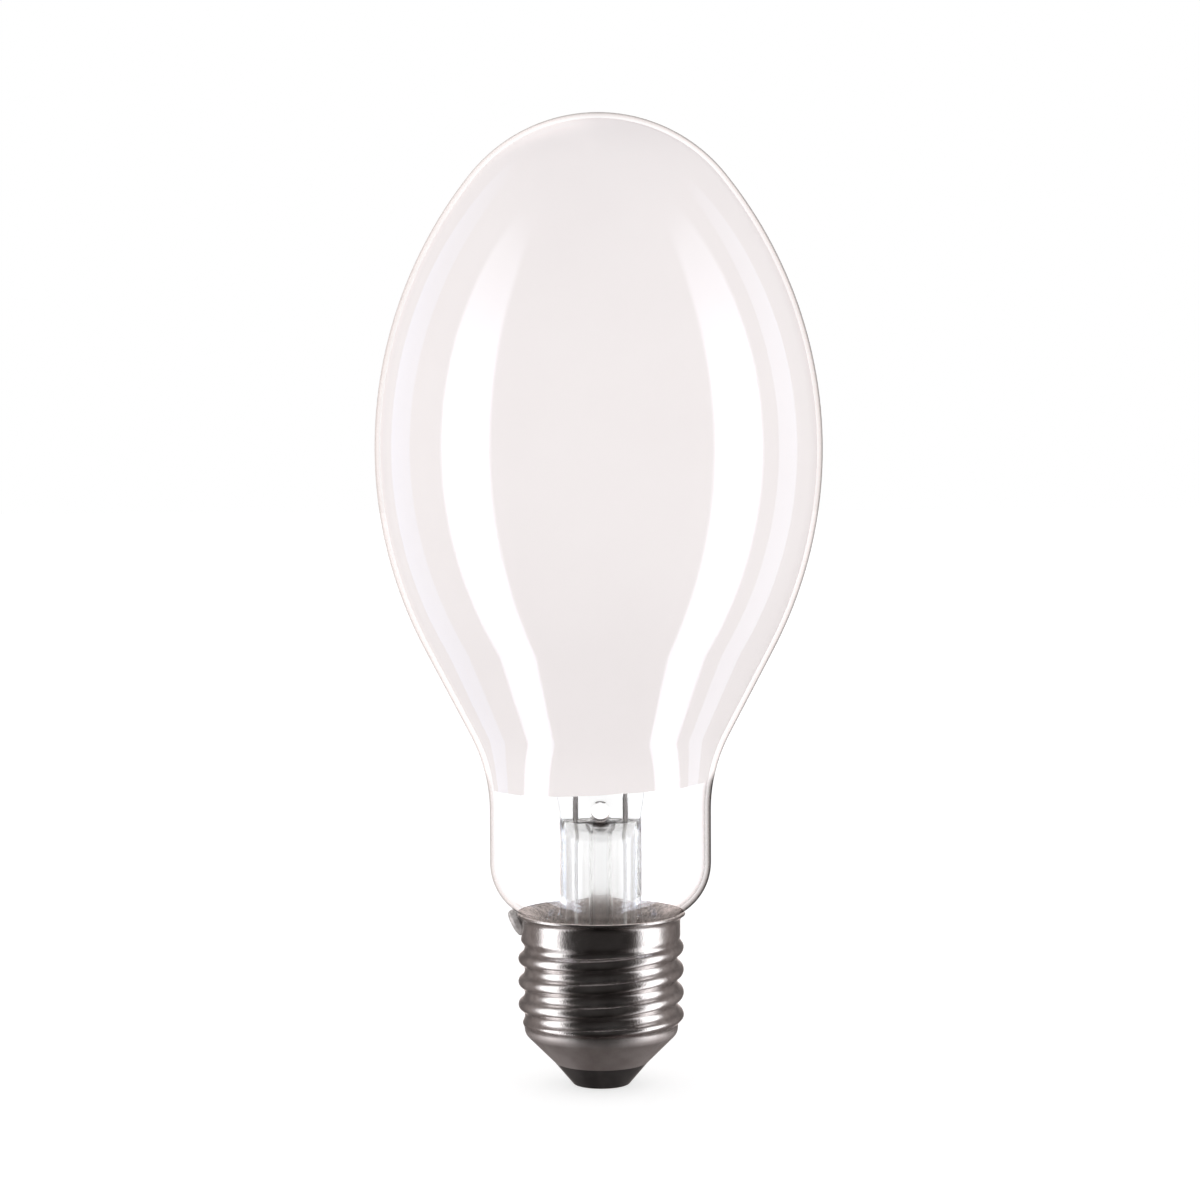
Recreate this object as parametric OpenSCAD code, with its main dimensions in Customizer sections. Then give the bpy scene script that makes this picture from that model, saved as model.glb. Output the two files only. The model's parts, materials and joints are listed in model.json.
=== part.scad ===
// High pressure sodium lamp: coated ellipsoidal bulb with a clear neck, on a 27 mm screw cap.
// Millimetres. The origin is the middle of the centre contact's face, +Z runs up the lamp's axis,
// and the flat press of the glass stem is widest along X.

/* [Outer bulb] */
// Height of the lamp from the centre contact to the top of the dome
lamp_h = 152.9; // [148:0.1:165]
// Largest diameter of the bulb
bulb_d = 70.2; // [67:0.1:74]
// Radius of the dome at the top
dome_r = 25.8; // [23:0.1:29]
// Height of the widest ring above the neck, as a share of the bulb's height above the neck
belly_ratio = 0.5196; // [0.48:0.0002:0.56]
// Radius of the hollow curve between the taper and the neck
neck_blend_r = 26.2; // [18:0.1:30]
// Length of the straight taper between the side and that hollow curve
taper_l = 15.1; // [5:0.1:25]
// Outer diameter of the neck
neck_d = 34.9; // [33:0.1:37]
// Length of the straight neck above the shoulder
neck_l = 8.2; // [5:0.1:12]
// Thickness of the bulb's glass
glass_t = 0.9; // [0.7:0.05:1.1]
// Angle through which the shoulder under the neck has turned in where it meets the cap's rim
shoulder_angle = 62.7; // [56:0.1:66]
// Width of the cement between the glass and the lip at the rim
rim_gap = 0.66; // [0.5:0.01:0.9]
// Outer diameter of the narrow glass end inside the cap
tuck_d = 21; // [19.5:0.1:21.6]
// Radius of the hollow curve above the narrow glass end
tuck_r = 2; // [1.5:0.1:2.5]
// Depth of the lower edge of the glass below the rim
seal_depth = 11.4; // [10:0.1:12.5]

/* [Diffusing coat] */
// Thickness of the white powder coat inside the bulb
coat_t = 0.12; // [0.08:0.01:0.3]
// Height of the coat's lower edge above the rim of the cap
coat_rise = 19.7; // [17:0.1:30]
// Tilt of the coat's lower edge, in degrees
coat_tilt = 2.3; // [0:0.1:4]

/* [Screw cap] */
// Height of the cap from the centre contact to its rim
cap_h = 27.4; // [26.5:0.1:28.5]
// Diameter over the crests of the rolled thread
thread_crest_d = 26.2; // [25.9:0.05:26.45]
// Diameter at the roots of the rolled thread
thread_root_d = 24.2; // [24:0.05:24.26]
// Pitch of the thread, seven turns to the inch
thread_pitch = 3.629; // [3.5:0.001:3.7]
// Height of the plain skirt between the thread and the rim
skirt_h = 3.5; // [3:0.1:4.5]
// Drop from the top of the thread to the first crest on the +X side
thread_start = 1.95; // [0.5:0.05:3.5]
// Length over which each end of the thread fades out
thread_fade = 2; // [1.5:0.1:3]
// Thickness of the cap's sheet metal
sheet_t = 0.3; // [0.2:0.01:0.35]
// Outer diameter of the plain skirt
skirt_d = 25.14; // [24.9:0.02:25.4]
// Radius of the flared lip
lip_r = 1.25; // [0.9:0.05:1.5]
// Angle through which the lip flares
lip_angle = 68; // [50:1:75]
// Width of the notch in the lip for the side wire
notch_w = 0.9; // [0.7:0.05:1.4]
// Depth of that notch below the rim
notch_h = 1.7; // [1.2:0.1:2.4]
// Radius of the lump of solder over the notch
blob_r = 1; // [0.8:0.05:1.3]
// Radius of the foot to which the solder has run down
blob_foot_r = 0.45; // [0.3:0.05:0.6]
// Diameter of the shell below the thread
shell_base_d = 24.3; // [24.1:0.05:24.5]
// Radius of the edge between the thread and the cone
base_edge_r = 1.7; // [1.2:0.1:2]
// Diameter of the small end of the metal cone
cone_end_d = 14.9; // [13:0.1:16]
// Height of the small end of the metal cone
cone_end_z = 3.7; // [3:0.1:4.2]

/* [Contact end] */
// Outer diameter of the insulator's lower corner
insulator_foot_d = 9.3; // [9:0.1:9.8]
// Height of the insulator's lower corner
insulator_foot_z = 0.15; // [0.1:0.01:0.3]
// Height of the insulator's floor inside the cap
insulator_top_z = 7.2; // [6:0.1:7.4]
// Rise of the insulator's edge up the inside of the cone
insulator_edge_h = 0.5; // [0.2:0.1:0.6]
// Diameter of the centre contact
contact_d = 8.2; // [7.6:0.1:8.6]
// Thickness of the centre contact
contact_t = 0.65; // [0.4:0.05:0.9]
// Width of the contact's bevelled edge
contact_bevel = 0.5; // [0.3:0.05:0.8]
// Diameter of the dimple that holds the contact's solder
dimple_d = 4; // [3.4:0.1:5]
// Depth of that dimple
dimple_h = 0.2; // [0.1:0.05:0.3]
// Outer diameter of the contact's eyelet
eyelet_d = 3.2; // [2.6:0.1:3.6]
// Height of the contact's eyelet above the disc
eyelet_h = 2.2; // [1:0.1:3]

/* [Glass stem] */
// Outer diameter of the stem tube
stem_d = 12.9; // [12:0.1:13.4]
// Thickness of the stem's glass
stem_t = 0.9; // [0.7:0.05:1]
// Height of the flare at the foot of the stem
flare_h = 8; // [6:0.1:10]
// Height of the rim where the flare is sealed to the bulb
flare_rim_h = 1; // [0.6:0.1:1.6]
// Height of the foot of the pressed part above the lower edge of the glass
press_rise = 26.4; // [25:0.1:28]
// Height of the pressed part
press_h = 9.2; // [8:0.1:11]
// Thickness of the pressed part
press_t = 3.5; // [3.2:0.1:4.4]
// Height over which the tube closes into the press
press_close_h = 3.6; // [3:0.1:4.4]
// Outer diameter of the exhaust tube
exhaust_d = 3.8; // [3.4:0.1:4.2]
// Thickness of the exhaust tube's glass
exhaust_t = 0.65; // [0.5:0.05:0.8]
// Gap between the sealed tip of the exhaust tube and the insulator
exhaust_gap = 4.8; // [3:0.1:7]
// Diameter of the collar where the exhaust tube is joined to the press
collar_d = 4.8; // [4.4:0.1:5]
// Diameter of the exhaust hole through the press
vent_d = 3; // [2.4:0.1:3.2]
// Height of the exhaust hole above the foot of the press
vent_rise = 1; // [0.8:0.1:1.6]

/* [Wires] */
// Distance from the axis to each wire in the press
wire_offset = 3.9; // [3.7:0.05:4.2]
// Diameter of the outer lead wires
lead_d = 0.6; // [0.5:0.02:0.62]
// Diameter of the wires sealed in the press
seal_wire_d = 0.8; // [0.6:0.05:1]
// Length of each sealed wire that stands out of the press at both ends
seal_wire_proud = 1; // [0.5:0.1:1.5]
// Diameter of the two support wires
support_d = 1.2; // [1:0.05:1.5]
// Distance from the axis to the long support wire
post_offset = 11; // [9:0.1:14]

/* [Arc tube] */
// Gap between the wires of the press and the lower niobium tube
arc_foot_gap = 11.3; // [9:0.1:15]
// Gap between the top of the frame and the inside of the dome
frame_top_gap = 6.4; // [4:0.1:9]
// Rise of the frame's hook above the upper niobium tube
hook_rise = 5; // [4:0.1:7]
// Length of the hook's tip inside the upper niobium tube
hook_reach = 2; // [1:0.1:4]
// Outer diameter of the arc tube
arc_d = 5.2; // [4.8:0.1:6]
// Wall of the arc tube
arc_t = 0.6; // [0.5:0.05:0.8]
// Length of each end plug
plug_l = 4; // [3:0.1:5]
// Outer diameter of the niobium tubes
niobium_d = 2.4; // [2:0.1:2.6]
// Wall of the niobium tubes
niobium_t = 0.25; // [0.2:0.05:0.3]
// Length of each niobium tube outside its plug
niobium_out = 9; // [7:0.1:11]
// Outer diameter of the rings of sealing glass
frit_d = 3.8; // [3.4:0.1:4.2]
// Height of the rings of sealing glass
frit_h = 0.7; // [0.4:0.1:1]
// Length of each electrode rod inside the arc tube
electrode_l = 6; // [5:0.1:8]
// Diameter of the electrode rods
electrode_d = 0.7; // [0.5:0.05:0.8]
// Diameter of the wire of the electrode coils
coil_wire_d = 0.34; // [0.3:0.01:0.4]
// Pitch of the electrode coils
coil_pitch = 0.42; // [0.42:0.01:0.6]
// Number of turns of each electrode coil
coil_turns = 7; // [4:1:9]
// Diameter of the amalgam pellet
pellet_d = 1.1; // [0.8:0.05:1.2]
// Height of the heat reflecting bands
band_h = 7; // [5:0.5:10]
// Thickness of the bands, the straps and the getter
strip_t = 0.3; // [0.2:0.05:0.4]
// Width of the straps
strap_w = 3; // [2:0.1:4]
// Distance from each strap to the end of its niobium tube
strap_inset = 1; // [0.5:0.1:2]
// Rise of the arch in the upper strap
strap_arch = 2.2; // [1:0.1:3]
// Length of the getter strip
getter_l = 9; // [6:0.5:12]
// Width of the getter strip
getter_w = 4; // [3:0.1:5]

/* [Hidden] */

$fn = 96;
// Gap left round a wire in its groove
groove_gap = 0.03;
// Gap left between a wire and the glass or the sheet that it passes
wire_gap = 0.35;
// Gap left between the cement and the flats of the rolled thread
cement_gap = 0.1;
// Gap left between the electrode rods and their coils
coil_gap = 0.01;
// Depth by which the solder lies below the contact's face
solder_recess = 0.05;
// Height of the centre wire's end above the contact's face
wire_end_z = 0.4;
// Length by which a cutting form runs past what it cuts
overrun = 1;
// Half thickness of the slit in which the stem's hollow ends
slit_r = 0.2;
// Points along one arc of an outline
arc_steps = 18;

// Bulb outline, from tangent arcs
bulb_r = bulb_d / 2;
neck_r = neck_d / 2;
tuck_in_r = tuck_d / 2;
seal_z = cap_h - seal_depth;
skirt_r = skirt_d / 2;
lip_x = skirt_r + lip_r;
lip_z = cap_h - (lip_r + sheet_t) * sin(lip_angle);
// Width over which the shoulder turns in between the neck and the rim of the cap
shoulder_w = neck_r + rim_gap - lip_x + (lip_r + sheet_t) * cos(lip_angle);
shoulder_r = shoulder_w / (1 - cos(shoulder_angle));
shoulder_z = cap_h + shoulder_r * sin(shoulder_angle);
neck_top_z = shoulder_z + neck_l;
belly_z = neck_top_z + belly_ratio * (lamp_h - neck_top_z);
dome_z = lamp_h - dome_r;
dome_lift = dome_z - belly_z;
// Radius of the upper side, tangent to the dome and upright at the widest ring
upper_side_r = (pow(dome_lift, 2) + pow(bulb_r, 2) - pow(dome_r, 2)) / (2 * (bulb_r - dome_r));
dome_join = atan2(dome_lift, upper_side_r - bulb_r);
// The lower side and the hollow curve over the neck, with the taper tangent to both
waist = bulb_r - neck_r;
lower_h = belly_z - neck_top_z;
curves_r = (pow(lower_h, 2) + pow(waist, 2) - pow(taper_l, 2)) / (2 * waist);
lower_side_r = curves_r - neck_blend_r;
taper_angle = atan2(lower_h, curves_r - waist) - atan2(taper_l, curves_r);
shoulder_x = neck_r - shoulder_r;
tuck_angle = acos((tuck_in_r - shoulder_x + tuck_r) / (shoulder_r + tuck_r));
tuck_x = tuck_in_r + tuck_r;
tuck_z = shoulder_z - (shoulder_r + tuck_r) * sin(tuck_angle);
coat_edge_z = cap_h + coat_rise;
// Height to which the coat is made before its lower edge is cut
coat_foot_z = coat_edge_z - 2 * neck_r * tan(coat_tilt) - overrun;

// Cap
crest_r = thread_crest_d / 2;
root_r = thread_root_d / 2;
shell_base_r = shell_base_d / 2;
cone_end_r = cone_end_d / 2;
thread_mid_r = (crest_r + root_r) / 2;
thread_depth = crest_r - root_r;
// Radius of the round crests and roots, tangent to each other half way
knuckle_r = (pow(thread_pitch / 2, 2) + pow(thread_depth, 2)) / (4 * thread_depth);
thread_bottom_z = cone_end_z + shell_base_r - cone_end_r + base_edge_r * (sqrt(2) - 1);
thread_top_z = cap_h - skirt_h;
thread_phase_z = thread_top_z - thread_start;
thread_columns = 40;
thread_rows = 35;
// Step where the faceted thread meets the round skirt and cone
thread_step = 0.02;

// Contact end
foot_r = insulator_foot_d / 2;
contact_r = contact_d / 2;
dimple_r = dimple_d / 2;
eyelet_r = eyelet_d / 2;
lead_r = lead_d / 2;

// Side wire, which turns under the glass and climbs between the glass and the shell
side_leg_r = tuck_in_r + lead_r + wire_gap;
wire_dip = 3;

// Stem
stem_r = stem_d / 2;
flare_r = tuck_in_r - glass_t;
press_z = seal_z + press_rise;
press_top_z = press_z + press_h;
close_z = press_z - press_close_h;
flare_top_z = seal_z + flare_h;
exhaust_r = exhaust_d / 2;
exhaust_tip_z = insulator_top_z + exhaust_gap;
// Height of the collar's joint, which lies inside the closing of the tube
collar_z = press_z - 1;
vent_z = press_z + vent_rise;
seal_wire_r = seal_wire_d / 2;
seal_foot_z = press_z - seal_wire_proud;
seal_top_z = press_top_z + seal_wire_proud;

// Frame and arc tube
support_r = support_d / 2;
arc_r = arc_d / 2;
arc_bore_r = arc_r - arc_t;
niobium_r = niobium_d / 2;
niobium_bore_r = niobium_r - niobium_t;
hook_z = lamp_h - glass_t - coat_t - frame_top_gap - support_r;
niobium_foot_z = seal_top_z + arc_foot_gap;
niobium_top_z = hook_z - hook_rise;
hook_tip_z = niobium_top_z - hook_reach;
arc_foot_z = niobium_foot_z + niobium_out;
arc_top_z = niobium_top_z - niobium_out;
arc_l = arc_top_z - arc_foot_z;
arc_mid_z = (arc_foot_z + arc_top_z) / 2;
lower_strap_z = niobium_foot_z + strap_inset + strap_w / 2;
upper_strap_z = niobium_top_z - strap_inset - strap_w / 2;
// Height at which the long support wire has reached its upright part
post_foot_z = seal_top_z + 8;
post_bend = 3;
getter_z = post_foot_z + post_bend + getter_l / 2;

// Points along an arc in the plane of an outline
function arc(x, z, r, from, to, steps = arc_steps) =
    [for (i = [0 : steps]) let (a = from + (to - from) * i / steps)
        [x + r * cos(a), z + r * sin(a)]];

// Dome and sides down to the start of the neck, moved inwards by inset
function bulb_upper(inset) = concat(
    arc(0, dome_z, dome_r - inset, 90, dome_join),
    arc(bulb_r - upper_side_r, belly_z, upper_side_r - inset, dome_join, 0),
    arc(bulb_r - lower_side_r, belly_z, lower_side_r - inset, 0, -taper_angle),
    arc(neck_r + neck_blend_r, neck_top_z, neck_blend_r + inset, 180 - taper_angle, 180));

// Shoulder and narrow end down to the seal, moved inwards by inset
function bulb_lower(inset) = concat(
    arc(shoulder_x, shoulder_z, shoulder_r - inset, 0, -tuck_angle),
    arc(tuck_x, tuck_z, tuck_r + inset, 180 - tuck_angle, 180, 8),
    [[tuck_in_r - inset, seal_z]]);

function reversed(list) = [for (i = [len(list) - 1 : -1 : 0]) list[i]];

// Height of the knuckle thread's outline over its middle, at a distance u from a crest
function knuckle(u) =
    let (d = abs(u - thread_pitch * round(u / thread_pitch)), q = thread_pitch / 2 - d)
    d < thread_pitch / 4
        ? thread_depth / 2 - knuckle_r + sqrt(pow(knuckle_r, 2) - d * d)
        : knuckle_r - thread_depth / 2 - sqrt(pow(knuckle_r, 2) - q * q);

// Smooth step from 0 to 1
function ease(t) = let (c = min(1, max(0, t))) c * c * (3 - 2 * c);

// Radius of the rolled thread at a height and an angle round the cap
function thread_r(z, a) =
    let (
        fade_in = ease((z - thread_bottom_z) / thread_fade),
        fade_out = ease((thread_top_z - z) / thread_fade),
        base = shell_base_r + (thread_mid_r - shell_base_r) * fade_in,
        plain = skirt_r + (base - skirt_r) * fade_out)
    plain + fade_in * fade_out * knuckle(z - thread_phase_z - thread_pitch * a / 360);

// A path whose corners are rounded, each over the given length or half of its shorter side
function bent(p, length, steps = 5) = concat(
    [p[0]],
    [for (i = [1 : len(p) - 2])
        let (
            back = p[i - 1] - p[i], on = p[i + 1] - p[i],
            d = min(length, norm(back) / 2, norm(on) / 2),
            a = p[i] + back / norm(back) * d, b = p[i] + on / norm(on) * d)
        each [for (k = [0 : steps]) let (t = k / steps)
            (1 - t) * (1 - t) * a + 2 * t * (1 - t) * p[i] + t * t * b]],
    [p[len(p) - 1]]);

// A round wire along a path in the XZ plane
module wire(path, r, sides = 12) {
    n = len(path);
    points = [for (i = [0 : n - 1])
        let (
            d = path[min(i + 1, n - 1)] - path[max(i - 1, 0)],
            t = d / norm(d))
        for (k = [0 : sides - 1]) let (a = 360 * k / sides)
            [path[i][0] + r * cos(a) * t[1], r * sin(a), path[i][1] - r * cos(a) * t[0]]];
    faces = concat(
        [[for (k = [0 : sides - 1]) k]],
        [for (i = [0 : n - 2], k = [0 : sides - 1])
            let (a = i * sides + k, b = i * sides + (k + 1) % sides)
            [a, a + sides, b + sides, b]],
        [[for (k = [sides - 1 : -1 : 0]) (n - 1) * sides + k]]);
    polyhedron(points, faces);
}

side_lead_path = bent([
    [-wire_offset, seal_foot_z],
    [-wire_offset, seal_z - lead_d],
    [-wire_offset - wire_dip / 2, seal_z - wire_dip],
    [-side_leg_r + wire_dip / 3, seal_z - wire_dip],
    [-side_leg_r, seal_z - lead_d],
    [-side_leg_r, tuck_z - lead_d],
    [-skirt_r + sheet_t + lead_d * 2 / 3, tuck_z + lead_d * 3 / 2],
    [-lip_x + lead_d, cap_h - lead_d / 6],
    [-lip_x - lead_d / 6, cap_h + lead_d / 6]
], 2 * lead_d, 4);

centre_lead_path = bent([
    [wire_offset, seal_foot_z],
    [wire_offset, exhaust_tip_z],
    [wire_offset - lead_d, (exhaust_tip_z + insulator_top_z + eyelet_r) / 2],
    [0, insulator_top_z + eyelet_r],
    [0, insulator_top_z],
    [0, wire_end_z]
], eyelet_r, 4);

short_support_path = bent([
    [-wire_offset, seal_top_z],
    [-wire_offset, seal_top_z + post_bend],
    [-post_offset / 2, seal_top_z + post_bend + 2],
    [-post_offset / 2, lower_strap_z + strap_w]
], 2);

long_support_path = bent([
    [wire_offset, seal_top_z],
    [wire_offset, seal_top_z + post_bend],
    [post_offset, post_foot_z],
    [post_offset, hook_z],
    [0, hook_z],
    [0, hook_tip_z]
], post_bend, 6);

module screw_shell() {
    color("#b9b0aa") union() {
        rolled_thread();
        plain_skirt();
        shell_cone();
    }
}

// The rolled thread as one wavy sheet. Its flats stand just outside the round skirt and cone,
// so that the three join face to face.
module rolled_thread() {
    ring = thread_columns;
    rows = thread_rows;
    flat = cos(180 / ring);
    outer = [for (j = [0 : rows], i = [0 : ring - 1])
        let (z = thread_bottom_z + (thread_top_z - thread_bottom_z) * j / rows,
            a = 360 * i / ring, r = (thread_r(z, a) + thread_step) / flat)
        [r * cos(a), r * sin(a), z]];
    inner = [for (j = [0 : rows], i = [0 : ring - 1])
        let (z = thread_bottom_z + (thread_top_z - thread_bottom_z) * j / rows,
            a = 360 * i / ring, r = thread_r(z, a) - sheet_t - thread_step)
        [r * cos(a), r * sin(a), z]];
    m = ring * (rows + 1);
    walls = [for (j = [0 : rows - 1], i = [0 : ring - 1])
        let (a = j * ring + i, b = j * ring + (i + 1) % ring)
        each [
            [a, a + ring, b], [b, a + ring, b + ring],
            [m + a, m + b, m + a + ring], [m + b, m + b + ring, m + a + ring]
        ]];
    ends = [for (i = [0 : ring - 1])
        let (k = (i + 1) % ring, t = rows * ring)
        each [
            [i, k, m + i], [k, m + k, m + i],
            [t + i, m + t + i, t + k], [t + k, m + t + i, m + t + k]
        ]];
    polyhedron(concat(outer, inner), concat(walls, ends));
}

// The plain skirt with its flared lip, which is notched where the side wire leaves
module plain_skirt() {
    difference() {
        rotate_extrude() polygon(concat(
            [[skirt_r - sheet_t, thread_top_z], [skirt_r, thread_top_z]],
            arc(lip_x, lip_z, lip_r, 180, 180 - lip_angle, 8),
            arc(lip_x, lip_z, lip_r + sheet_t, 180 - lip_angle, 180, 8)));
        lip_notch();
    }
}

module shell_cone() {
    edge_x = shell_base_r - base_edge_r;
    rotate_extrude() polygon(concat(
        arc(edge_x, thread_bottom_z, base_edge_r, 0, -45, 6),
        [[cone_end_r, cone_end_z],
            [cone_end_r - sheet_t / sqrt(2), cone_end_z + sheet_t / sqrt(2)]],
        arc(edge_x, thread_bottom_z, base_edge_r - sheet_t, -45, 0, 6)));
}

module lip_notch() {
    translate([-lip_x - lip_r, -notch_w / 2, cap_h - notch_h])
        cube([lip_x + lip_r - tuck_in_r, notch_w, notch_h + overrun]);
}

module cap_insulator() {
    wall = sheet_t / sqrt(2);
    edge_z = insulator_top_z + insulator_edge_h;
    color("#2b2929") rotate_extrude() polygon([
        [eyelet_r, contact_t], [contact_r, contact_t],
        [contact_r, insulator_foot_z], [foot_r, insulator_foot_z],
        [cone_end_r, cone_end_z], [cone_end_r - wall, cone_end_z + wall],
        [cone_end_r - 2 * wall + edge_z - cone_end_z, edge_z],
        [contact_r + 1.5, insulator_top_z], [eyelet_r, insulator_top_z]]);
}

module centre_contact() {
    bore = eyelet_r - sheet_t;
    color("#c9a86a") rotate_extrude() polygon([
        [lead_r, dimple_h], [dimple_r - dimple_h, dimple_h], [dimple_r, 0],
        [contact_r - contact_bevel, 0], [contact_r, contact_bevel / 2], [contact_r, contact_t],
        [eyelet_r, contact_t], [eyelet_r, contact_t + eyelet_h], [bore, contact_t + eyelet_h],
        [bore, contact_t], [lead_r, contact_t]]);
}

// The solder fills the dimple and the foot of the wire's hole
module centre_solder() {
    color("#b5b3ae") rotate_extrude() polygon([
        [0, solder_recess], [dimple_r - solder_recess, solder_recess],
        [dimple_r - dimple_h, dimple_h], [lead_r, dimple_h], [lead_r, wire_end_z],
        [0, wire_end_z]]);
}

// A blob run down from the notch, cut to the shell, the cement and the wire in it
module side_solder() {
    color("#9c9792") difference() {
        hull() {
            translate([-lip_x, 0, cap_h - blob_r / 2]) sphere(blob_r, $fn = 20);
            translate([-skirt_r - blob_foot_r / 2, 0, thread_top_z + blob_foot_r])
                sphere(blob_foot_r, $fn = 20);
        }
        plain_skirt();
        rotate_extrude() cement_outline();
        wire(side_lead_path, lead_r + groove_gap);
    }
}

module capping_cement() {
    color("#8a8178") difference() {
        rotate_extrude() cement_outline();
        wire(side_lead_path, lead_r + groove_gap);
    }
}

// The cement lies against the glass, the skirt and the lip
module cement_outline() {
    bed = [for (p = bulb_lower(0)) if (p[1] < cap_h) p];
    above = [for (p = bulb_lower(0)) if (p[1] >= cap_h) p];
    last = above[len(above) - 1];
    brim = last + (bed[0] - last) * (last[1] - cap_h) / (last[1] - bed[0][1]);
    thread_r_in = root_r - sheet_t - cement_gap;
    polygon(concat(
        reversed(concat([brim], bed)),
        reversed([for (p = arc(lip_x, lip_z, lip_r + sheet_t, 180, 180 - lip_angle, 8))
            if (p[1] < cap_h) p]),
        [[skirt_r - sheet_t, thread_top_z], [thread_r_in, thread_top_z],
            [thread_r_in, seal_z]]));
}

module outer_bulb() {
    color("#eef2f4", 0.35) rotate_extrude() polygon(concat(
        bulb_upper(0), bulb_lower(0),
        reversed(bulb_lower(glass_t)), reversed(bulb_upper(glass_t))));
}

module diffusing_coat() {
    color("#f2efee") difference() {
        rotate_extrude() polygon(concat(
            [for (p = bulb_upper(glass_t)) if (p[1] > coat_foot_z) p],
            [[neck_r - glass_t, coat_foot_z], [neck_r - glass_t - coat_t, coat_foot_z]],
            reversed([for (p = bulb_upper(glass_t + coat_t)) if (p[1] > coat_foot_z) p])));
        translate([0, 0, coat_edge_z]) rotate([0, -coat_tilt, 0])
            translate([-bulb_d, -bulb_d, -bulb_d]) cube([2 * bulb_d, 2 * bulb_d, bulb_d]);
    }
}

// Solid of the stem's outer form, or of its hollow when moved inwards by inset
module stem_form(inset) {
    flare_rise = flare_h - flare_rim_h;
    flare_out = flare_r - stem_r;
    fillet = (pow(flare_rise, 2) + pow(flare_out, 2)) / (2 * flare_out);
    turn = asin(flare_rise / fillet);
    rotate_extrude() polygon(concat(
        [[0, close_z], [stem_r - inset, close_z]],
        arc(stem_r + fillet, flare_top_z, fillet + inset, 180, 180 + turn),
        inset > 0
            ? [[flare_r - inset, seal_z], [0, seal_z]]
            : [[flare_r, seal_z], [0, seal_z]]));
    intersection() {
        translate([0, 0, close_z - overrun])
            cylinder(h = press_top_z - close_z + overrun, r = stem_r - inset);
        rotate([90, 0, 90]) linear_extrude(2 * stem_r, center = true)
            press_side(inset);
    }
}

// The press seen along X: the round tube closes to a flat web
module press_side(inset) {
    web = inset > 0 ? slit_r : press_t / 2;
    top = inset > 0 ? press_z - stem_t : press_top_z;
    mouth = stem_r - inset;
    steps = 10;
    closing = [for (i = [0 : steps]) let (t = i / steps)
        [mouth + (web - mouth) * ease(t), close_z + (press_z - close_z - inset) * t]];
    side = concat(
        [[mouth + overrun, close_z - overrun], [mouth + overrun, close_z]], closing, [[web, top]]);
    polygon(concat(side, [for (p = reversed(side)) [-p[0], p[1]]]));
}

module stem() {
    color("#dfe8ea", 0.5) difference() {
        stem_form(0);
        stem_form(stem_t);
        for (s = [-1, 1]) translate([s * wire_offset, 0, seal_foot_z - overrun])
            cylinder(h = seal_top_z - seal_foot_z + 2 * overrun, r = seal_wire_r);
        translate([0, 0, close_z]) cylinder(h = collar_z - close_z, r = collar_d / 2);
        translate([0, 0, close_z]) cylinder(h = vent_z - close_z, r = exhaust_r - exhaust_t);
        translate([0, 0, vent_z]) rotate([90, 0, 0])
            cylinder(h = stem_d, d = vent_d, center = true);
    }
}

module exhaust_tube() {
    bore = exhaust_r - exhaust_t;
    color("#e6eef0", 0.5) rotate_extrude() polygon([
        [bore, collar_z], [collar_d / 2, collar_z], [collar_d / 2, collar_z - exhaust_t],
        [exhaust_r, collar_z - 2 * exhaust_t], [exhaust_r, exhaust_tip_z + exhaust_r],
        [exhaust_r / 2, exhaust_tip_z + exhaust_r / 4], [0, exhaust_tip_z],
        [0, exhaust_tip_z + bore], [bore, exhaust_tip_z + 2 * bore]]);
}

module centre_lead_wire() {
    color("#8d8a86") wire(centre_lead_path, lead_r);
}

module side_lead_wire() {
    color("#8d8a86") wire(side_lead_path, lead_r);
}

module seal_wire(side) {
    color("#6f6d6b") translate([side * wire_offset, 0, seal_foot_z])
        cylinder(h = seal_top_z - seal_foot_z, r = seal_wire_r);
}

module centre_seal_wire() {
    seal_wire(1);
}

module side_seal_wire() {
    seal_wire(-1);
}

module short_support_wire() {
    color("#8f9092") wire(short_support_path, support_r);
}

module long_support_wire() {
    color("#8f9092") wire(long_support_path, support_r);
}

module arc_tube() {
    color("#f4f1ea") tube(arc_foot_z, arc_l, arc_r, arc_bore_r);
}

module tube(z, h, r, bore) {
    translate([0, 0, z]) rotate_extrude() polygon([[bore, 0], [r, 0], [r, h], [bore, h]]);
}

// Turns what is made for the lower end of the arc tube upside down for the upper end
module at_end(top) {
    translate([0, 0, arc_mid_z]) mirror([0, 0, top ? 1 : 0]) translate([0, 0, -arc_mid_z])
        children();
}

module end_plug(top) {
    color("#f0ede4") at_end(top) tube(arc_foot_z, plug_l, arc_bore_r, niobium_r);
}

module frit_ring(top) {
    color("#c9c4ba") at_end(top) tube(arc_foot_z - frit_h, frit_h, frit_d / 2, niobium_r);
}

module niobium_tube(top) {
    length = niobium_out + plug_l;
    color("#9a9aa0") at_end(top) translate([0, 0, niobium_foot_z]) rotate_extrude()
        polygon([
            [niobium_bore_r, 0], [niobium_r, 0], [niobium_r, length], [0, length],
            [0, length - niobium_t], [niobium_bore_r, length - niobium_t]]);
}

module electrode_rod(top) {
    color("#7d7f84") at_end(top) translate([0, 0, arc_foot_z + plug_l])
        cylinder(h = electrode_l, d = electrode_d);
}

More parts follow.
